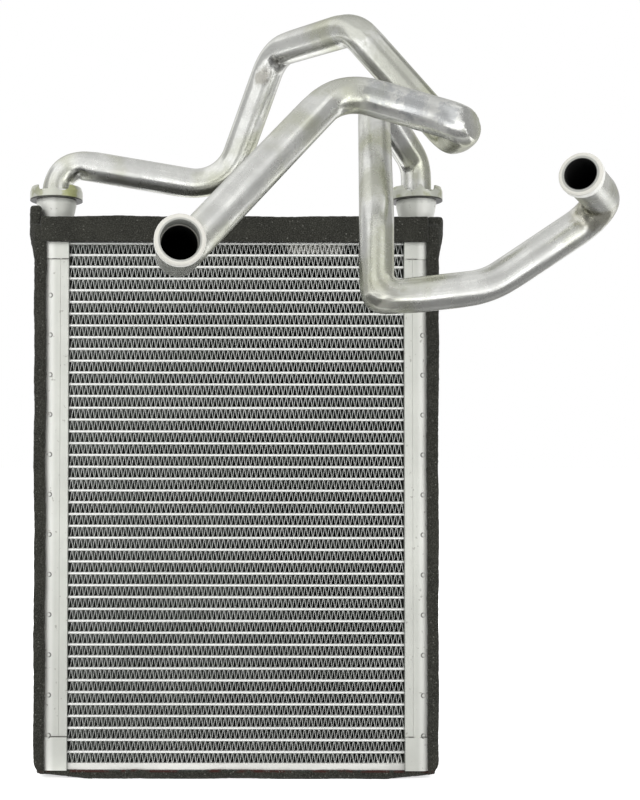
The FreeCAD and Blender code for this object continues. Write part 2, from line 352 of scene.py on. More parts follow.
def raise_bumps(tree, shader, height, distance, strength=0.5):
    bump = put(tree, "ShaderNodeBump", Strength=strength, Distance=distance, Height=height)
    tree.links.new(bump.outputs[0], shader.inputs["Normal"])


# Sizes and colours a user would change

def colour(label, what, red, green, blue):
    return FloatVectorProperty(name=label, description="Colour of the " + what, subtype="COLOR", size=4,
                               min=0.0, max=1.0, default=(red, green, blue, 1.0))


def length(label, what, default):
    return FloatProperty(name=label, description=what, default=default, min=0.0, unit="LENGTH", precision=5)


def number(label, what, default):
    return IntProperty(name=label, description=what, default=default, min=4)


def measure(label, what, default, unit="NONE"):
    return FloatProperty(name=label, description=what, default=default, unit=unit, precision=5)


class FinSizes(bpy.types.PropertyGroup):
    rows: number("Rows", "Fin rows, one more than there are tubes", 45)
    waves: number("Waves", "Folds across one row", 70)
    stagger: measure("Stagger", "How far a row is moved sideways against the one below, in waves", 0.618)
    sheet: length("Sheet", "Thickness of the folded sheet", 0.00024)
    crest: length("Crest", "Flat part of a fold against its tube", 0.00035)
    sweep: length("Sweep", "How far the fold moves sideways and back through the core's depth", 0.0024)
    squeeze: length("Squeeze", "Length over which the last folds are squeezed at the right tank", 0.0008)
    wander: length("Wander", "How far folds stray from their places", 0.00008)
    reach: length("Reach", "How far the strips reach past the solids they stand for, to the tanks", 0.0012)
    # Painted light and shade: Wall is the lit colour of walls that face up, Underside the painted shade of
    # walls that face down.
    wall: colour("Wall", "walls that face up", 0.48, 0.50, 0.47)
    under: colour("Underside", "walls that face down, in painted shade", 0.05, 0.052, 0.048)
    edge: colour("Edge", "cut front and back edges", 0.9, 0.91, 0.88)
    dust: colour("Dust", "cloudy patches", 0.30, 0.34, 0.30)
    # Painted highlight on folds that were bent flat.
    bent: colour("Bent folds", "folds that were bent flat", 1.0, 1.0, 0.97)


class FoamSizes(bpy.types.PropertyGroup):
    voxel: length("Detail", "Mesh size of the foam", 0.0011)
    fuzz: length("Fuzz", "Depth of the rough surface", 0.0005)
    wave: length("Wave", "How far a strip's edges wander", 0.0014)
    lip: length("Lip", "Thickness of the lips over the tanks' corners", 0.0016)
    gap: length("Gap", "Room between the lips and the metal", 0.0004)
    foot: length("Foot", "Height over which the side strips round in at their feet", 0.0105)
    taper: length("Taper", "Length over which the bottom strip gets thinner at each end", 0.026)
    thinner: length("Thinner", "How much thinner the bottom strip is at its ends", 0.0028)
    turn_in: length("Turn in", "How far the side strips' outsides come in at their feet", 0.0048)
    slim: length("Slim", "How much thinner the side strips are at their feet", 0.0010)
    cover: length("Cover", "Thickness of the side strips outside the tanks", 0.0017)
    foam: colour("Foam", "foam", 0.013, 0.013, 0.010)
    speck: colour("Specks", "pale specks", 0.12, 0.12, 0.105)
    glue: colour("Glue", "glue that shows along the bottom strip", 0.040, 0.013, 0.010)


class MetalLooks(bpy.types.PropertyGroup):
    tube: colour("Tubes", "flat tubes", 0.88, 0.89, 0.86)
    tank: colour("Tanks", "tanks and caps", 0.66, 0.67, 0.62)
    plate: colour("Side plates", "side plates", 0.78, 0.78, 0.74)
    collar: colour("Collars", "crimp collars", 0.60, 0.61, 0.54)
    pipe: colour("Pipes", "drawn pipes", 0.93, 0.935, 0.90)
    rim: colour("Rim", "pipes' mouths", 0.62, 0.61, 0.56)
    tarnish: colour("Tarnish", "dull marks on the metal", 0.60, 0.61, 0.48)
    rubber: colour("Rubber", "seal rings", 0.02, 0.02, 0.02)
    pale: colour("Tank edge", "paler outer band of the tanks", 0.93, 0.93, 0.89)
    # Painted shade on the tanks' inner walls, behind the fins.
    shade: colour("Inner wall", "tanks' inner walls, behind the fins", 0.22, 0.23, 0.21)
    joint: colour("Joint", "line where a cap ends", 0.05, 0.045, 0.04)
    # Painted shade of the tanks' pressed dimples.
    dimple: colour("Dimple", "ring round a dimple", 0.06, 0.06, 0.05)
    spots: colour("Spots", "small stains on the tanks", 0.3, 0.29, 0.26)
    bloom: colour("Bloom", "green patches on the collars", 0.34, 0.35, 0.19)
    yellow: colour("Yellow stain", "stain on the left collar", 0.40, 0.42, 0.16)
    # Painted shadow under the collars' overhang.
    shadow: colour("Gap", "gap under the collars", 0.03, 0.03, 0.025)
    rubbed: colour("Rubbed", "bright scuffs on the pipes", 0.95, 0.95, 0.92)
    bead: colour("Bead", "beads behind the pipes' mouths", 0.88, 0.88, 0.84)
    # Painted shade inside the pipes: Bore is near black deep in, Wide bore a darker copy of the rim colour.
    bore: colour("Bore", "dark inside of the pipes", 0.02, 0.02, 0.02)
    wide_bore_shade: colour("Wide bore", "wider part of the left mouth", 0.36, 0.365, 0.34)
    dimple_level: length("Dimple level", "Height of one pressed dimple on the tanks", 0.0225)
    dimple_pitch: length("Dimple pitch", "Distance from one dimple to the next", 0.0209)
    dimple_inset: length("Dimple inset", "Distance of the dimples from the tank's outer side", 0.0062)


class PipeSizes(bpy.types.PropertyGroup):
    radius: length("Radius", "Outer radius of the pipes", 0.008)
    wall: length("Wall", "Thickness of the pipes' wall", 0.0017)
    root: length("Root", "Depth of a pipe's end below the top of its flange", 0.0108)
    claw: length("Claw height", "How far the collars stand above the flanges", 0.0025)
    flange: length("Flange", "Thickness of the flange", 0.0018)
    flange_radius: length("Flange radius", "Outer radius of the flange", 0.0126)
    bead_radius: length("Bead radius", "Outer radius of the bead at the mouth", 0.00895)
    bead_land: length("Bead land", "Flat part of the bead", 0.003)
    bead_round: length("Bead round", "Rounding of the bead's shoulders", 0.0009)
    counterbore: length("Counterbore step", "Step between the left mouth and its bore", 0.0006)
    counterbore_depth: length("Counterbore depth", "Depth of the wider part of the left mouth", 0.012)
    flat: length("Flat", "How far the outside of the tightest bend is flattened", 0.0015)
    tightest: length("Tightest bend", "Radius of the bends that are flattened in full", 0.011)
    sides: number("Sides", "Edges round a pipe", 56)
    step: length("Step", "Length of pipe between two rings of its mesh", 0.0025)


class StageLooks(bpy.types.PropertyGroup):
    floor: colour("Floor", "floor", 0.9, 0.9, 0.9)
    sky: measure("Room light", "Strength of the room's light on the object", 0.5)
    key: measure("Key lamp", "Power of the lamp at the upper left", 17.0, "POWER")
    fill: measure("Fill lamps", "Power of the lamps at the right and at the back", 9.0, "POWER")
    focal: measure("Lens", "Focal length of the camera", 50.328, "CAMERA")
    pitch: measure("Camera pitch", "How far the camera looks up", 0.021324, "ROTATION")
    roll: measure("Camera roll", "Turn of the camera about its line of sight", 0.001556, "ROTATION")
    shift: measure("Camera shift", "How far the frame is moved to the right", 0.12358)
    stand: FloatVectorProperty(name="Camera place", description="Where the camera stands", size=3,
                               default=(-0.007984, -0.599864, 0.184936), subtype="TRANSLATION",
                               unit="LENGTH", precision=6)


# Fins

# Folds that were bent flat, shown by painted highlights only: the mesh keeps them folded. Height of
# the top row's spots and of the tube under it, then for both rows the spots' place across the core
# and their size.
bent_level = 0.279
bent_from = (0.2743, 0.2748)
bent_at_top = [(0.033, 0.0085), (0.042, 0.0085), (0.051, 0.0085)]
bent_at_bottom = [(0.0740, 0.0024), (0.0790, 0.0030), (0.0850, 0.0040)]


def fold_wave(fin, place, bank):
    """One fold of thin sheet as deep as the core, swept sideways and back in four banks."""
    left, front, low, high, pitch = place
    slope = pitch / 2 - fin.crest
    rest()
    bpy.ops.mesh.primitive_plane_add(size=1.0, location=(left + fin.crest / 2, 0, low))
    wave = bpy.context.object
    wave.scale = (fin.crest, -2 * front, 1.0)
    apply_place(wave)
    pick(wave, lambda co: co.x > left + fin.crest - tiny)
    for step in ((slope, 0, high - low), (fin.crest, 0, 0), (slope, 0, low - high)):
        bpy.ops.mesh.extrude_region_move(TRANSFORM_OT_translate={"value": step})
    for index in (1, 2, 3):
        bpy.ops.mesh.select_all(action="SELECT")
        bpy.ops.mesh.bisect(plane_co=(0, front + index * bank, 0), plane_no=(0, 1, 0))
    pick(wave, lambda co: abs(abs(co.y) - bank) < tiny)
    bpy.ops.transform.translate(value=(fin.sweep, 0, 0))
    object_mode()
    return wave


def fin_material(fin):
    """Thin aluminium sheet: walls in painted shade where they face down, bright cut edges, painted
    highlights on folds bent flat.
    """
    material, tree, shader, place = new_material("Fin sheet")
    grain = use_group(tree, groups["grain"], Vector=place, Drift_scale=60.0, Grain_scale=900.0)
    facing = axes_of(tree, tree.nodes.new("ShaderNodeNewGeometry").outputs["Normal"])
    edge = ramp(tree, maths(tree, "ABSOLUTE", facing[1]), 0.8, 0.95)
    # Painted light and shade: walls that face up take the lit wall colour, walls that face down the dark
    # underside colour.
    lit_share_from_above = ramp(tree, facing[2], -0.15, 0.15)
    wall = blend_colours(tree, lit_share_from_above, fin.under, fin.wall)
    dulled = blend_colours(tree, 1.0, wall, (0.7, 0.7, 0.7, 1.0), "MULTIPLY")
    wall = blend_colours(tree, grain["Drift"], dulled, wall)
    body = blend_colours(tree, edge, wall, fin.edge)
    uneven = ramp(tree, noise(tree, place, 35.0, 4.0, 0.65), 0.35, 0.65)
    body = blend_colours(tree, times(tree, uneven, 0.25), body, fin.dust)
    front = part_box("fin_rows")[0].y
    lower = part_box("bottom_side_plate")[1].z
    # Painted highlights where folds were bent flat, in the top row and along the bottom side plate.
    top_row = ramp(tree, axes_of(tree, place)[2], *bent_from)
    for along, radius in bent_at_top:
        body = stain(tree, place, body, (along, front, bent_level), radius, 0.3, top_row, fin.bent)
    for along, radius in bent_at_bottom:
        body = stain(tree, place, body, (along, front, lower), radius, 0.3, 1.0, fin.bent)
    feed(tree, shader, "Base Color", body)
    feed(tree, shader, "Roughness", ramp(tree, grain["Drift"], 0.0, 1.0, 0.42, 0.6))
    shader.inputs["Metallic"].default_value = 0.55
    raise_bumps(tree, shader, grain["Grain"], 0.00005)
    return material


class FoldFins(bpy.types.Operator):
    """Folds every fin row between the flat tubes"""
    bl_idname = "heater_core.fold_fins"
    bl_label = "Fold the fins"

    def execute(self, context):
        fin = context.scene.heater_fins
        low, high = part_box("fin_rows")
        low.x -= fin.reach
        high.x += fin.reach
        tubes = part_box("flat_tubes")
        pitch_up = self.pitch(fin, low, high, tubes)
        tube_height = tubes[1].z - tubes[0].z - (fin.rows - 2) * pitch_up
        fold_height = pitch_up - tube_height
        wave_pitch = (high.x - low.x - fin.crest) / (fin.waves + 0.5)
        place = (low.x, low.y, low.z + fin.sheet / 2, low.z + fold_height - fin.sheet / 2, wave_pitch)
        strip = fold_wave(fin, place, (high.y - low.y) / 4)
        modify(strip, "ARRAY", count=fin.waves, use_relative_offset=False, use_constant_offset=True,
               constant_offset_displace=(wave_pitch, 0, 0), use_merge_vertices=True, merge_threshold=tiny)
        material = fin_material(fin)
        half = fin.rows // 2
        rows = []
        for row in range(fin.rows):
            copy = copy_of(strip, "fin_row")
            shift = wave_pitch / 2 * ((row * fin.stagger) % 1.0)
            copy.location = (shift, 0, row * pitch_up)
            apply_place(copy)
            edit_all()
            bpy.ops.transform.vertex_random(offset=fin.wander, uniform=0.0, normal=0.0, seed=row)
            object_mode()
            self.squeeze_end(fin, copy, high.x)
            modify(copy, "SOLIDIFY", thickness=fin.sheet, offset=0.0, use_even_offset=False)
            rows.append(copy)
        bpy.data.objects.remove(strip)
        for name, group in (("fins_lower", rows[:half]), ("fins_upper", rows[half:])):
            piece = joined(group, name)
            dress(piece, material)
            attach(piece, "root")
            if name == "fins_lower":
                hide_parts("fin_rows")
        return {"FINISHED"}

    def squeeze_end(self, fin, strip, end):
        """Squeezes the last folds together where they would run into the right tank."""
        for point in strip.data.vertices:
            over = point.co.x - end + fin.squeeze
            if over > 0:
                point.co.x = end - fin.squeeze * math.exp(-over / fin.squeeze)

    def pitch(self, fin, low, high, tubes):
        """Distance from one tube to the next: the fins are one row taller than the tubes reach."""
        return (high.z - low.z + tubes[1].z - tubes[0].z) / (2 * fin.rows - 2)


# Foam

def foam_material(foam):
    """Charcoal open-cell foam with pale specks."""
    material, tree, shader, place = new_material("Sealing foam")
    cells = use_group(tree, groups["cells"], Vector=place)
    body = blend_colours(tree, cells["Drift"], foam.foam, lightened(foam.foam, 1.6))
    grit = ramp(tree, noise(tree, place, 1900.0, 3.0, 0.6), 0.42, 0.68)
    body = blend_colours(tree, times(tree, grit, 0.35), body, foam.speck)
    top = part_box("bottom_foam")[1].z
    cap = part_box("right_bottom_cap")[1].x
    axes = axes_of(tree, place)
    glue = band(tree, axes[2], top - 0.0012, top - 0.0006, top + 0.0008, top + 0.0012)
    glue = times(tree, glue, ramp(tree, noise(tree, place, 120.0), 0.46, 0.60))
    side = maths(tree, "ABSOLUTE", axes[0])
    glue = times(tree, glue, ramp(tree, side, cap - 0.003, cap - 0.001, 1.0, 0.0))
    body = blend_colours(tree, glue, body, foam.glue)
    feed(tree, shader, "Base Color", blend_colours(tree, cells["Specks"], body, foam.speck))
    shader.inputs["Roughness"].default_value = 0.95
    shader.inputs["Specular IOR Level"].default_value = 0.2
    shader.inputs["Sheen Weight"].default_value = 0.15
    raise_bumps(tree, shader, cells["Cells"], 0.0004, 0.8)
    return material


def fuzz_texture(name, size):
    texture = bpy.data.textures.new(name, "CLOUDS")
    texture.noise_scale = size
    texture.noise_depth = 3
    return texture


class LayFoam(bpy.types.Operator):
    """Lays the foam sealing strips round the core"""
    bl_idname = "heater_core.lay_foam"
    bl_label = "Lay the foam"

    def execute(self, context):
        foam = context.scene.heater_foam
        material = foam_material(foam)
        fine = fuzz_texture("fine fuzz", 0.0016)
        coarse = fuzz_texture("strip wave", 0.028)
        for node in ("left_foam", "right_foam", "bottom_foam", "top_foam"):
            beside = node in ("left_foam", "right_foam")
            strip = copy_of(nodes[node], node + "_strip")
            edit_all()
            bpy.ops.mesh.remove_doubles(threshold=1e-6)
            object_mode()
            if beside:
                strip = joined([strip] + self.lips(foam, node), strip.name)
            modify(strip, "REMESH", mode="VOXEL", voxel_size=foam.voxel)
            if beside:
                self.round_foot(foam, strip)
            if node == "bottom_foam":
                self.thin_ends(foam, strip)
            modify(strip, "SMOOTH", factor=0.5, iterations=2)
            across = "X" if beside else "Z"
            modify(strip, "DISPLACE", texture=coarse, strength=foam.wave, mid_level=0.5, direction=across)
            modify(strip, "DISPLACE", texture=fine, strength=foam.fuzz, mid_level=0.55)
            for point in strip.data.vertices:
                point.co.z = max(point.co.z, 0.0)
            smooth(strip, 180)
            dress(strip, material)
            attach(strip, "root")
            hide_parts(node)
        return {"FINISHED"}

    def lips(self, foam, node):
        """Flat lips that the side strip lays over the front and back corners of its tank and caps."""
        low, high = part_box(node)
        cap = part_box("right_top_cap")
        sign = 1 if low.x > 0 else -1
        edge = min(abs(low.x), abs(high.x))
        outer = cap[1].x + foam.lip
        made = []
        for facing in (-1, 1):
            near = cap[1].y + foam.gap
            rest()
            bpy.ops.mesh.primitive_cube_add(size=1.0, location=(
                sign * (edge + outer) / 2, facing * (near + foam.lip / 2), cap[1].z / 2 + tiny))
            made.append(bpy.context.object)
            made[-1].scale = (outer - edge, foam.lip, cap[1].z)
            apply_place(made[-1])
        return made

    def round_foot(self, foam, strip):
        """Draws the outside of the strip in towards its foot, where it turns under the tank."""
        inner = min(abs(point.co.x) for point in strip.data.vertices)
        outer = max(abs(point.co.x) for point in strip.data.vertices if point.co.z < foam.foot)
        height = max(point.co.z for point in strip.data.vertices)
        for point in strip.data.vertices:
            down = max(0.0, 1.0 - point.co.z / foam.foot)
            out = (abs(point.co.x) - inner) / (outer - inner)
            skin = max(0.0, 1.0 + (abs(point.co.x) - outer) / foam.cover)
            lower = max(0.0, 1.0 - point.co.z / height)
            drawn_in = out * foam.turn_in * down ** 2 + min(skin, 1.0) * foam.slim * lower
            point.co.x -= math.copysign(drawn_in, point.co.x)
            point.co.z += foam.thinner * down ** 2

    def thin_ends(self, foam, strip):
        """Raises the underside of the bottom strip towards its two ends."""
        top = max(point.co.z for point in strip.data.vertices)
        end = max(point.co.x for point in strip.data.vertices)
        for point in strip.data.vertices:
            out = max(0.0, (abs(point.co.x) - end + foam.taper) / foam.taper)
            point.co.z += foam.thinner * out * (1.0 - point.co.z / top)


# Metal of the CAD nodes

def metal_material(name, base, tarnish, metallic, rough, stretch, bump):
    """Bare aluminium: base colour with drift, grain that runs one way, dull scuffs."""
    material, tree, shader, place = new_material(name)
    grain = use_group(tree, groups["grain"], Vector=place, Stretch=stretch)
    marks = use_group(tree, groups["scuffs"], Vector=place)
    body = blend_colours(tree, grain["Drift"], base, lightened(base, 0.9))
    body = blend_colours(tree, times(tree, marks["Patch"], 0.18), body, tarnish)
    feed(tree, shader, "Base Color", body)
    worn = maths(tree, "ADD", times(tree, grain["Drift"], 0.08), times(tree, marks["Patch"], 0.1))
    feed(tree, shader, "Roughness", maths(tree, "ADD", worn, rough))
    shader.inputs["Metallic"].default_value = metallic
    height = maths(tree, "SUBTRACT", grain["Grain"], times(tree, marks["Scratch"], 0.8))
    raise_bumps(tree, shader, height, bump)
    return material, tree, shader, place, body


# Distances from a dimple's middle between which its ring of painted shade comes and goes
dimple_shade_ring = (0.0006, 0.0009, 0.0012, 0.0016)


def dimples(tree, look, side, level):
    """Painted shade of the tanks' pressed dimples, which the mesh lacks: dark rings, one above the other
    from the feet up to the top caps.
    """
    raised = maths(tree, "SUBTRACT", level, look.dimple_level)
    up_down = maths(tree, "PINGPONG", raised, look.dimple_pitch / 2)
    sideways = maths(tree, "SUBTRACT", side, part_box("right_tank_cover")[1].x - look.dimple_inset)
    ring = band(tree, hypotenuse(tree, up_down, sideways), *dimple_shade_ring)
    mark = times(tree, ring, ramp(tree, sideways, -0.0008, 0.0006, 0.85, 0.2))
    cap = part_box("right_top_cap")[0].z
    return times(tree, mark, ramp(tree, level, cap - 0.0001, cap, 1.0, 0.0))


def tank_material(look):
    """Tank metal with a paler outer band, painted shade on the inner walls behind the fins, a dark line at
    each cap, painted shade of pressed dimples and small stains.
    """
    material, tree, shader, place, body = metal_material(
        "Tank metal", look.tank, look.tarnish, 0.35, 0.42, (1, 1, 0.05), 0.00006)
    axes = axes_of(tree, place)
    side = maths(tree, "ABSOLUTE", axes[0])
    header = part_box("right_header_plate")
    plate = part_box("top_side_plate")
    paler = ramp(tree, side, header[1].x + 0.002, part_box("right_tank_cover")[1].x - 0.007)
    body = blend_colours(tree, times(tree, paler, 0.5), body, look.pale)
    # Painted shade: the tanks' inner walls behind the fins are painted dark, below the top side plate.
    inner = ramp(tree, side, header[0].x + 0.0001, header[0].x + 0.0003, 1.0, 0.0)
    inner = times(tree, inner, ramp(tree, axes[2], plate[0].z, plate[1].z, 1.0, 0.0))
    body = blend_colours(tree, inner, body, look.shade)
    breakup = ramp(tree, noise(tree, place, 300.0), 0.42, 0.55)
    for cap, edge in (("right_top_cap", 0), ("right_bottom_cap", 1)):
        away = maths(tree, "ABSOLUTE", maths(tree, "SUBTRACT", axes[2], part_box(cap)[edge].z))
        line = ramp(tree, away, 0.0001, 0.00035, 0.85, 0.0)
        body = blend_colours(tree, times(tree, line, breakup), body, look.joint)
    # Painted shade of the pressed dimples.
    body = blend_colours(tree, dimples(tree, look, side, axes[2]), body, look.dimple)
    spots = times(tree, ramp(tree, noise(tree, place, 420.0, 2.0), 0.66, 0.74), 0.6)
    body = blend_colours(tree, spots, body, look.spots)
    feed(tree, shader, "Base Color", body)
    return material


class FinishCore(bpy.types.Operator):
    """Gives the tubes, plates, tanks and caps their brazed finish"""
    bl_idname = "heater_core.finish_core"
    bl_label = "Finish the core's metal"

    def execute(self, context):
        look = context.scene.heater_metal
        tube = metal_material("Tube metal", look.tube, look.tarnish, 0.25, 0.45, (0.05, 1, 1), 0.00004)[0]
        plate = metal_material("Plate metal", look.plate, look.tarnish, 0.4, 0.42, (0.05, 1, 1), 0.00005)[0]
        tank = tank_material(look)
        dress(nodes["flat_tubes"], tube)
        dress(nodes["top_side_plate"], plate)
        dress(nodes["bottom_side_plate"], plate)
        for side in ("left_", "right_"):
            for part in ("header_plate", "tank_cover", "top_cap", "bottom_cap", "neck"):
                dress(nodes[side + part], tank)
        return {"FINISHED"}


class FinishJoints(bpy.types.Operator):
    """Gives the crimp collars and the seal rings their finish"""
    bl_idname = "heater_core.finish_joints"
    bl_label = "Finish collars and seals"

    def execute(self, context):
        look = context.scene.heater_metal
        collar, tree, shader, place, body = metal_material(
            "Collar metal", look.collar, look.tarnish, 0.55, 0.35, (1, 1, 1), 0.00012)
        level = axes_of(tree, place)[2]
        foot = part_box("left_crimp_collar")[0].z
        patch = ramp(tree, noise(tree, place, 160.0, 3.0, 0.6), 0.5, 0.62)
        body = blend_colours(tree, times(tree, patch, 0.6), body, look.bloom)
        claw = (-0.0870, -0.011, foot + 0.004)
        body = stain(tree, place, body, claw, 0.0065, 0.5, 0.75, look.yellow)
        # Painted shadow: a dark band at the collar's foot, where it overhangs the neck.
        gap = ramp(tree, level, foot + 0.0003, foot + 0.0009, 1.0, 0.0)
        feed(tree, shader, "Base Color", blend_colours(tree, gap, body, look.shadow))
        rubber, tree, shader, place = new_material("Seal rubber")
        grain = use_group(tree, groups["grain"], Vector=place)
        body = blend_colours(tree, grain["Drift"], look.rubber, lightened(look.rubber, 1.8))
        feed(tree, shader, "Base Color", body)
        shader.inputs["Roughness"].default_value = 0.6
        raise_bumps(tree, shader, grain["Grain"], 0.00005)
        for side in ("left_", "right_"):
            dress(nodes[side + "crimp_collar"], collar)
            dress(nodes[side + "seal_ring"], rubber)
        return {"FINISHED"}


# Pipes

# Where each pipe's straight runs would meet, measured from the middle of its flange's upper face, and
# the radius of the bend there. The last point is the open mouth.
left_route = [
    (0.0, 0.0, 0.0175, 0.013),
    (0.0909, -0.0015, 0.0018, 0.024),
    (0.1167, -0.0159, 0.0713, 0.014),
    (0.1514, -0.0728, 0.0638, 0.011),
    (0.1967, -0.0806, 0.0085, 0.0105),
    (0.1955, -0.1205, 0.0046, 0.0095),
    (0.1403, -0.1149, 0.0223, 0.020),
    (0.0709, -0.1611, -0.0596, 0.016),
    (0.0749, -0.2231, -0.0619, 0.0),
]
right_route = [
    (0.0, 0.0, 0.0158, 0.014),
    (-0.0269, -0.0303, 0.0429, 0.014),
    (-0.0335, -0.0878, -0.0281, 0.040),
    (-0.0357, -0.1019, -0.0686, 0.010),
    (0.0154, -0.0980, -0.0623, 0.032),
    (0.0687, -0.1018, -0.0265, 0.013),
    (0.0403, -0.1499, -0.0229, 0.0),
]
up = Vector((0, 0, 1))

# The flat that bending pressed on the left pipe's tip: place, the way it faces, depth and reach
tip_flat = ((0.0987, -0.1205, 0.3137), (0.83, -0.55, 0.0), 0.0028, 0.022)

# The right pipe's lower corner, pulled outwards: place, move and width
corner_pull = ((0.0500, -0.1019, 0.2290), (-0.0022, 0.0, -0.0025), 0.0140)

# Dents in the left pipe: place, how far and where to the wall is pushed, and width
pipe_dents = [
    ((0.0130, -0.022, 0.3679), (0.0005, 0.0010, -0.0002), 0.0052),
    ((0.0212, -0.024, 0.3746), (0.0002, 0.0010, -0.0004), 0.0030),
    ((0.0248, -0.024, 0.3657), (-0.0004, 0.0012, 0.0006), 0.0035),
    ((-0.0830, -0.004, 0.3170), (0.0, 0.0010, 0.0010), 0.0040),
]

# Where the finish and the painted shade inside the pipes change, back from the mouth and out from the
# pipe's middle line
bead_end = (-0.0085, -0.006)
rim_edge = (-0.0012, -0.0003)
step_line = (-0.0132, -0.0127, -0.0121, -0.0117)
bore_edge = (0.0072, 0.0077)
wide_edge = (0.0064, 0.0067)

# Stains that handling and bending left, and painted shade in the left pipe's dents and behind its tip:
# place, radius, raggedness, strength and tint
pipe_stains_and_shade = [
    # The next three marks are painted shade in the dents and the pinch, the first two with a brownish
    # stain.
    ((0.0125, -0.022, 0.366), 0.0065, 0.5, 0.6, (0.26, 0.24, 0.19, 1.0)),
    ((0.0210, -0.024, 0.3735), 0.0035, 0.6, 0.55, (0.22, 0.21, 0.18, 1.0)),
    ((-0.0830, -0.006, 0.3185), 0.0050, 0.4, 0.6, (0.10, 0.10, 0.09, 1.0)),
    # The next mark is painted shadow on the rear bend, behind the left pipe's tip.
    ((0.0996, -0.082, 0.3150), 0.0060, 0.2, 0.9, (0.05, 0.05, 0.05, 1.0)),
    ((0.0642, -0.107, 0.2440), 0.0011, 0.2, 0.9, (0.04, 0.04, 0.04, 1.0)),
    ((0.0686, -0.107, 0.2426), 0.0009, 0.2, 0.9, (0.04, 0.04, 0.04, 1.0)),
    ((0.0770, -0.080, 0.3450), 0.0300, 0.3, 0.50, (0.42, 0.43, 0.33, 1.0)),
    ((0.0546, -0.078, 0.3740), 0.0140, 0.4, 0.40, (0.44, 0.45, 0.34, 1.0)),
    ((0.0620, -0.088, 0.3000), 0.0170, 0.4, 0.45, (0.48, 0.49, 0.36, 1.0)),
    ((0.0435, -0.122, 0.3330), 0.0140, 0.4, 0.35, (0.50, 0.51, 0.40, 1.0)),
    ((0.0611, -0.108, 0.2400), 0.0120, 0.5, 0.35, (0.44, 0.43, 0.34, 1.0)),
    ((0.1550, -0.112, 0.2790), 0.0130, 0.5, 0.60, (0.42, 0.40, 0.29, 1.0)),
    ((0.0600, -0.124, 0.3270), 0.0080, 0.9, 0.45, (0.34, 0.36, 0.39, 1.0)),
    ((0.0740, -0.126, 0.3215), 0.0080, 0.9, 0.50, (0.34, 0.36, 0.39, 1.0)),
    ((0.0880, -0.128, 0.3170), 0.0070, 0.9, 0.50, (0.36, 0.38, 0.41, 1.0)),
]


def extrude_ring(ring, direction, distance, radius):
    """Extrudes the selected ring along the pipe and scales it to a new radius."""
    place, before = ring
    bpy.ops.mesh.extrude_region_move(TRANSFORM_OT_translate={"value": direction * distance})
    place = place + direction * distance
    if radius != before:
        share = radius / before
        bpy.ops.transform.resize(value=(share, share, share), center_override=place)
    return place, radius


def follow(ring, direction, profile):
    """Follows a profile: steps along the pipe, each with the radius it ends at."""
    for distance, radius in profile:
        ring = extrude_ring(ring, direction, distance, radius)
    return ring


def run_straight(ring, direction, distance, step):
    count = max(1, math.ceil(distance / step))
    return follow(ring, direction, [(distance / count, ring[1])] * count)


def run_bend(ring, corner, arrive, leave, bend, step):
    """Spins the ring round a bend between two runs that would meet at the corner."""
    turn = arrive.angle(leave)
    axis = arrive.cross(leave).normalized()
    centre = ring[0] + axis.cross(arrive) * bend
    rings = math.ceil(turn * (bend + ring[1]) / step)
    bpy.ops.mesh.spin(steps=rings, angle=-turn, center=centre, axis=axis, use_auto_merge=False)
    return corner + leave * bend * math.tan(turn / 2), ring[1]


def draw_skin(pipe, route, seat, first, last):
    """Skin of a pipe from its root to its mouth; first and last are profiles for its two ends."""
    rest()
    start = seat - up * pipe.root
    bpy.ops.mesh.primitive_circle_add(vertices=pipe.sides, radius=first[0][1], location=start)
    skin = bpy.context.object
    apply_place(skin)
    edit_all()
    ring = follow((start, first[0][1]), up, first[1:])
    corners = [seat + Vector(point[:3]) for point in route]
    arrive = up
    for index, corner in enumerate(corners[:-1]):
        bend = route[index][3]
        leave = (corners[index + 1] - corner).normalized()
        tangent = bend * math.tan(arrive.angle(leave) / 2)
        ring = run_straight(ring, arrive, (corner - ring[0]).length - tangent, pipe.step)
        ring = run_bend(ring, corner, arrive, leave, bend, pipe.step)
        arrive = leave
    end = sum(distance for distance, radius in last)
    ring = run_straight(ring, arrive, (corners[-1] - ring[0]).length - end, pipe.step)
    follow(ring, arrive, last)
    object_mode()
    mark_rings(skin, pipe)
    flatten_bends(skin, pipe)
    return skin


def ring_middles(skin, pipe):
    points = skin.data.vertices
    return [sum((points[first + side].co for side in range(pipe.sides)), Vector()) / pipe.sides
            for first in range(0, len(points), pipe.sides)]


def flatten_bends(skin, pipe):
    """Flattens the outside of each bend a little, as bending does; the tighter the bend, the more."""
    middles = ring_middles(skin, pipe)
    pull = [Vector()] * len(middles)
    for index in range(1, len(middles) - 1):
        before = middles[index] - middles[index - 1]
        after = middles[index + 1] - middles[index]
        span = (before.length + after.length) / 2
        if before.length > tiny and after.length > tiny:
            bent = (after.normalized() - before.normalized()) / span
            if bent.length > 1:
                pull[index] = bent.normalized() * min(1.0, bent.length * pipe.tightest)
    for index in range(2, len(middles) - 2):
        inward = sum(pull[index - 2:index + 3], Vector()) / 5
        if inward.length > 0:
            for side in range(pipe.sides):
                point = skin.data.vertices[index * pipe.sides + side]
                outside = max(0.0, -(point.co - middles[index]).dot(inward.normalized()) / pipe.radius)
                point.co += inward * pipe.flat * outside ** 2


def mark_rings(skin, pipe):
    """Stores each point's place back from the mouth and round the pipe, for the lines of drawing."""
    drawn = skin.data.attributes.new("drawn", "FLOAT_VECTOR", "POINT")
    middles = ring_middles(skin, pipe)
    starts = range(0, len(skin.data.vertices), pipe.sides)
    along = 0.0
    for index in reversed(range(len(starts))):
        if index + 1 < len(starts):
            along -= (middles[index + 1] - middles[index]).length
        for side in range(pipe.sides):
            turn = 2 * math.pi * side / pipe.sides
            out = (skin.data.vertices[starts[index] + side].co - middles[index]).length
            drawn.data[starts[index] + side].vector = (along, out * math.cos(turn), out * math.sin(turn))


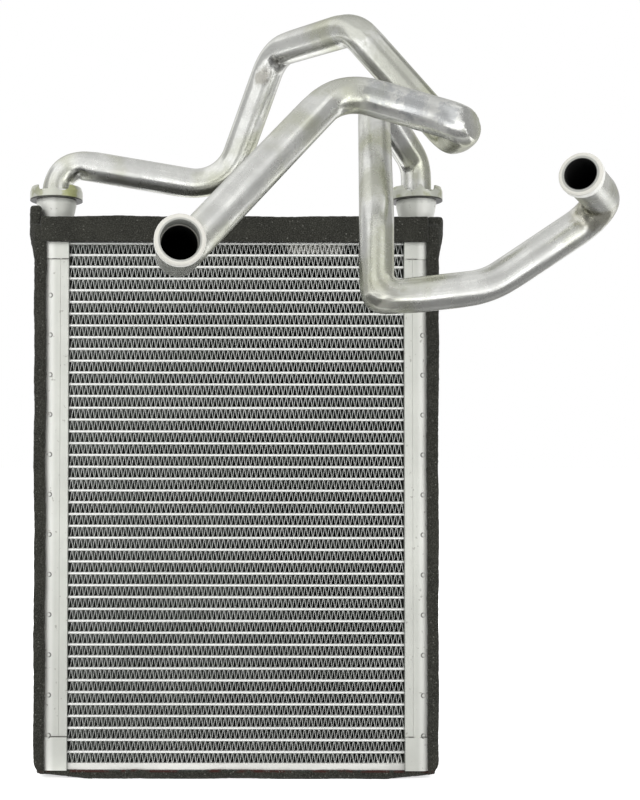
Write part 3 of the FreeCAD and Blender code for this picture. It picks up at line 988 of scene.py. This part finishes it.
def draw_pipe(pipe, side, route, mouth_radius, sink):
    """One pipe: outer skin with flange and bead, turned in at both ends to meet the skin of its bore."""
    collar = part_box(side + "crimp_collar")
    seat = Vector(((collar[0].x + collar[1].x) / 2, 0.0, collar[1].z - pipe.claw))
    fine = pipe.bead_round * 0.3
    nose = pipe.bead_radius - pipe.bead_round
    inside = pipe.radius - pipe.wall
    first = [(0.0, inside), (0.0, pipe.radius), (pipe.root - pipe.flange, pipe.radius),
             (0.0, pipe.flange_radius), (pipe.flange, pipe.flange_radius), (0.0, pipe.radius)]
    shoulder = pipe.bead_radius - fine
    last = [(0.0, nose), (fine, shoulder), (pipe.bead_round - fine, pipe.bead_radius),
            (pipe.bead_land, pipe.bead_radius), (pipe.bead_round - fine, shoulder), (fine, nose),
            (0.0, mouth_radius)]
    outer = draw_skin(pipe, route, seat, first, last)
    inner = draw_skin(pipe, route, seat, [(0.0, inside)], sink)
    whole = joined([outer, inner], side + "pipe_drawn")
    pick(whole, lambda co: True)
    bpy.ops.mesh.remove_doubles(threshold=tiny / 5)
    bpy.ops.mesh.normals_make_consistent(inside=False)
    object_mode()
    return whole


def pipe_material(look):
    """Drawn aluminium: fine lines along the pipe, cloudy wear, olive tarnish, scuffs, a pale mouth, painted
    shade in the bore and dents.
    """
    material, tree, shader, place = new_material("Pipe metal")
    drawn = put(tree, "ShaderNodeAttribute", {"attribute_name": "drawn"}).outputs["Vector"]
    grain = use_group(tree, groups["grain"], Vector=drawn, Drift_scale=75.0, Grain_scale=1300.0,
                      Stretch=(0.05, 1.0, 1.0))
    marks = use_group(tree, groups["scuffs"], Vector=place, Cover=0.7)
    speckle = noise(tree, place, 700.0, 3.0, 0.7)
    worn = blend_colours(tree, 1.0, look.pipe, (0.78, 0.78, 0.78, 1.0), "MULTIPLY")
    body = blend_colours(tree, grain["Drift"], look.pipe, worn)
    lines = ramp(tree, grain["Grain"], 0.3, 0.7)
    body = blend_colours(tree, times(tree, lines, 0.35), body, worn)
    olive = times(tree, ramp(tree, noise(tree, place, 26.0, 3.0, 0.55), 0.48, 0.64), 0.8)
    body = blend_colours(tree, olive, body, look.tarnish)
    body = blend_colours(tree, times(tree, ramp(tree, speckle, 0.52, 0.72), 0.3), body, look.rubbed)
    # Stains, and painted shade in the dents and behind the left pipe's tip.
    for mark in pipe_stains_and_shade:
        body = stain(tree, place, body, *mark)
    axes = axes_of(tree, drawn)
    out = hypotenuse(tree, axes[1], axes[2])
    # Painted shade inside the pipes: where the bore is narrow it is near black, the left mouth's wider part
    # a darker copy of the rim colour, its step in the rim colour.
    bore = ramp(tree, out, *bore_edge, 1.0, 0.0)
    bead = times(tree, ramp(tree, axes[0], *bead_end), 0.85)
    rim = ramp(tree, axes[0], *rim_edge)
    body = blend_colours(tree, bead, body, look.bead)
    body = blend_colours(tree, rim, body, look.rim)
    step = band(tree, axes[0], *step_line)
    wall = blend_colours(tree, step, look.wide_bore_shade, look.rim)
    inside = blend_colours(tree, ramp(tree, out, *wide_edge), look.bore, wall)
    body = blend_colours(tree, bore, body, inside)
    feed(tree, shader, "Base Color", body)
    dull = maths(tree, "MAXIMUM", maths(tree, "MAXIMUM", times(tree, bead, 1.2), rim), bore)
    feed(tree, shader, "Metallic", ramp(tree, dull, 0.0, 1.0, 0.95, 0.1))
    rough = maths(tree, "ADD", times(tree, grain["Drift"], 0.1), times(tree, marks["Patch"], 0.12))
    feed(tree, shader, "Roughness", maths(tree, "ADD", rough, ramp(tree, dull, 0.0, 1.0, 0.21, 0.55)))
    shader.inputs["Specular Tint"].default_value = (0.5, 0.5, 0.48, 1.0)
    height = maths(tree, "ADD", times(tree, speckle, 0.5), grain["Grain"])
    height = maths(tree, "SUBTRACT", height, times(tree, marks["Scratch"], 0.8))
    raise_bumps(tree, shader, height, 0.00012, 0.3)
    return material


def press(obj, place, move, size):
    """Presses the wall near a place, with a soft edge."""
    points = [vertex.co.copy() for vertex in obj.data.vertices]
    near = min(points, key=lambda co: (co - Vector(place)).length)
    pick(obj, lambda co: (co - near).length < size / 4)
    bpy.ops.transform.translate(value=move, use_proportional_edit=True, proportional_edit_falloff="SMOOTH",
                                proportional_size=size)
    object_mode()


def flatten(obj, place, facing, depth, reach):
    """Flattens what stands out furthest near a place, down to a plane, as a bending shoe does."""
    place = Vector(place)
    facing = Vector(facing).normalized()
    top = max(vertex.co.dot(facing) for vertex in obj.data.vertices if (vertex.co - place).length < reach)
    level = place + facing * (top - depth - place.dot(facing))
    across = facing.orthogonal().normalized()
    turn = Matrix((across, facing.cross(across), facing)).transposed()
    pick(obj, lambda co: (co - level).dot(facing) > 0 and (co - place).length < reach)
    bpy.ops.transform.resize(value=(1, 1, 0.1), orient_matrix=turn, orient_type="GLOBAL",
                             orient_matrix_type="GLOBAL", center_override=level)
    object_mode()


class BendPipes(bpy.types.Operator):
    """Draws the bent pipes, with the flats and kinks that bending left"""
    bl_idname = "heater_core.bend_pipes"
    bl_label = "Bend the pipes"

    def execute(self, context):
        pipe = context.scene.heater_pipes
        look = context.scene.heater_metal
        material = pipe_material(look)
        inside = pipe.radius - pipe.wall
        wide = inside + pipe.counterbore
        sink = [(pipe.counterbore, wide), (pipe.counterbore_depth, wide)]
        left = draw_pipe(pipe, "left_", left_route, wide, sink)
        right = draw_pipe(pipe, "right_", right_route, inside, [(pipe.step, inside)])
        flatten(left, *tip_flat)
        for dent in pipe_dents:
            press(left, *dent)
        press(right, *corner_pull)
        for side, drawn in (("left_", left), ("right_", right)):
            smooth(drawn, 20)
            dress(drawn, material)
            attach(drawn, "root")
            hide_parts(side + "pipe")
        return {"FINISHED"}


# Floor, light and camera

def lamp(name, place, aim, size, power):
    rest()
    bpy.ops.object.light_add(type="AREA", location=place)
    light = bpy.context.object
    light.name = name
    light.data.shape = "RECTANGLE"
    light.data.size = size[0]
    light.data.size_y = size[1]
    light.data.energy = power
    light.rotation_euler = (Vector(aim) - Vector(place)).to_track_quat("-Z", "Y").to_euler()
    light.visible_glossy = False


def card(name, place, aim, size, level):
    """A grey card that only the metal's reflections see."""
    rest()
    bpy.ops.mesh.primitive_plane_add(size=1.0, location=place)
    board = bpy.context.object
    board.name = name
    board.scale = (size[0], size[1], 1.0)
    board.rotation_euler = (Vector(aim) - Vector(place)).to_track_quat("Z", "Y").to_euler()
    material, tree, glow = bare_material(name, "ShaderNodeEmission")
    glow.inputs["Color"].default_value = (level, level, level, 1.0)
    dress(board, material)
    board.visible_camera = False
    board.visible_diffuse = False
    board.visible_shadow = False
    board.visible_transmission = False


# Cards in the room: name, place, the point that they face, size and level
room_cards = [
    ("camera_side_card", (0.22, -1.5, 0.5), (0.05, 0, 0.3), (0.7, 2.4), 0.55),
    ("top_card", (0.15, -0.1, 1.2), (0.15, -0.1, 0.3), (0.9, 1.4), 0.68),
    ("high_right_card", (1.3, 0.35, 1.7), (0.0, 0.1, 0.4), (0.9, 0.9), 0.30),
    ("right_card", (1.3, -0.1, 0.5), (0.0, -0.1, 0.3), (1.8, 1.6), 0.35),
    ("left_card", (-1.3, 0.1, 0.5), (0.0, 0.0, 0.3), (1.2, 1.6), 0.45),
]

# Cards that lie just over the floor: name, left, right, front, back and level
card_height = 0.003
floor_cards = [
    ("near_left_card", -1.0, -0.06, -0.50, -0.03, 0.12),
    ("near_middle_card", -0.06, 0.08, -0.67, -0.03, 0.40),
    ("near_right_card", 0.08, 0.9, -0.36, -0.03, 0.20),
    ("back_left_card", -1.0, -0.15, -0.03, 0.7, 0.18),
    ("back_right_card", 0.08, 0.62, -0.03, 0.7, 0.32),
    ("front_left_card", -1.0, -0.28, -1.3, -0.67, 0.42),
    ("front_card", -0.04, 0.6, -1.5, -0.67, 0.65),
]


def seen_plainly(tree):
    """One for what the camera sees, straight or by a reflection or through glass, and zero for light."""
    path = tree.nodes.new("ShaderNodeLightPath").outputs
    seen = maths(tree, "MAXIMUM", path["Is Camera Ray"], path["Is Glossy Ray"])
    return maths(tree, "MAXIMUM", seen, path["Is Transmission Ray"])


def floor_material(tint):
    """White to the camera and to the metal, but it keeps the object's shadow."""
    material, tree, either = bare_material("Floor", "ShaderNodeMixShader")
    plain = put(tree, "ShaderNodeBsdfDiffuse", Color=tint)
    glow = put(tree, "ShaderNodeEmission", Color=(1.0, 1.0, 1.0, 1.0), Strength=0.62)
    lit = tree.nodes.new("ShaderNodeAddShader")
    tree.links.new(plain.outputs[0], lit.inputs[0])
    tree.links.new(glow.outputs[0], lit.inputs[1])
    tree.links.new(seen_plainly(tree), either.inputs[0])
    tree.links.new(plain.outputs[0], either.inputs[1])
    tree.links.new(lit.outputs[0], either.inputs[2])
    return material


def room(strength):
    """White to the camera and to the metal, and a plain even light on everything else."""
    world = bpy.data.worlds.new("Room")
    bpy.context.scene.world = world
    world.use_nodes = True
    tree = world.node_tree
    tree.nodes.clear()
    level = maths(tree, "MAXIMUM", seen_plainly(tree), strength)
    sky = put(tree, "ShaderNodeBackground", Color=(1.0, 1.0, 1.0, 1.0), Strength=level)
    output = tree.nodes.new("ShaderNodeOutputWorld")
    tree.links.new(sky.outputs[0], output.inputs[0])


class SetStage(bpy.types.Operator):
    """Sets the floor, the light and the camera"""
    bl_idname = "heater_core.set_stage"
    bl_label = "Set floor, light and camera"

    def execute(self, context):
        stage = context.scene.heater_stage
        self.lay_floor(stage)
        room(stage.sky)
        middle = (0.0, 0.0, 0.18)
        lamp("key_lamp", (-0.9, -1.2, 1.0), middle, (0.9, 0.9), stage.key)
        lamp("fill_lamp", (1.1, -0.9, 0.6), middle, (0.8, 0.9), stage.fill)
        lamp("back_lamp", (0.3, 1.2, 1.0), middle, (0.9, 0.9), stage.fill)
        for name, place, aim, size, level in room_cards:
            card(name, place, aim, size, level)
        for name, left, right, front, back, level in floor_cards:
            place = ((left + right) / 2, (front + back) / 2, card_height)
            card(name, place, (place[0], place[1], 1.0), (right - left, back - front), level)
        self.place_camera(stage)
        context.scene.view_settings.view_transform = "Standard"
        return {"FINISHED"}

    def lay_floor(self, stage):
        rest()
        bpy.ops.mesh.primitive_plane_add(size=8.0, location=(0, 0, -0.00005))
        floor = bpy.context.object
        floor.name = "floor"
        dress(floor, floor_material(stage.floor))

    def place_camera(self, stage):
        rest()
        bpy.ops.object.camera_add()
        camera = bpy.context.object
        camera.name = "camera"
        camera.data.lens = stage.focal
        turn = Matrix.Rotation(math.pi / 2 + stage.pitch, 4, "X") @ Matrix.Rotation(stage.roll, 4, "Z")
        camera.matrix_world = Matrix.Translation(stage.stand) @ turn
        camera.data.shift_x = stage.shift
        camera.data.dof.use_dof = False
        bpy.context.scene.camera = camera


class CorePanel(bpy.types.Panel):
    """Sizes, colours and the steps of the heater core"""
    bl_idname = "VIEW3D_PT_heater_core"
    bl_label = "Heater core"
    bl_space_type = "VIEW_3D"
    bl_region_type = "UI"
    bl_category = "Heater core"

    def draw(self, context):
        layout = self.layout
        for label, name in settings.items():
            box = layout.box()
            box.label(text=label)
            group = getattr(context.scene, name)
            for prop in group.__annotations__:
                box.prop(group, prop)
        for step in steps:
            layout.operator(step.bl_idname)


settings = {"Fins": "heater_fins", "Foam": "heater_foam", "Metal": "heater_metal", "Pipes": "heater_pipes",
            "Stage": "heater_stage"}
groups = {}
kinds = (FinSizes, FoamSizes, MetalLooks, PipeSizes, StageLooks)
steps = (SetStage, FoldFins, LayFoam, FinishCore, FinishJoints, BendPipes)


def register():
    for kind in kinds + steps + (CorePanel,):
        bpy.utils.register_class(kind)
    for name, kind in zip(settings.values(), kinds):
        setattr(bpy.types.Scene, name, PointerProperty(type=kind))
    groups["grain"] = grain_group()
    groups["scuffs"] = scuff_group()
    groups["spot"] = spot_group()
    groups["cells"] = cell_group()


def unregister():
    for name in settings.values():
        delattr(bpy.types.Scene, name)
    for kind in reversed(kinds + steps + (CorePanel,)):
        bpy.utils.unregister_class(kind)


def main():
    register()
    bpy.ops.heater_core.set_stage()
    bpy.ops.heater_core.fold_fins()
    bpy.ops.heater_core.lay_foam()
    bpy.ops.heater_core.finish_core()
    bpy.ops.heater_core.finish_joints()
    bpy.ops.heater_core.bend_pipes()


if __name__ == "__main__":
    main()
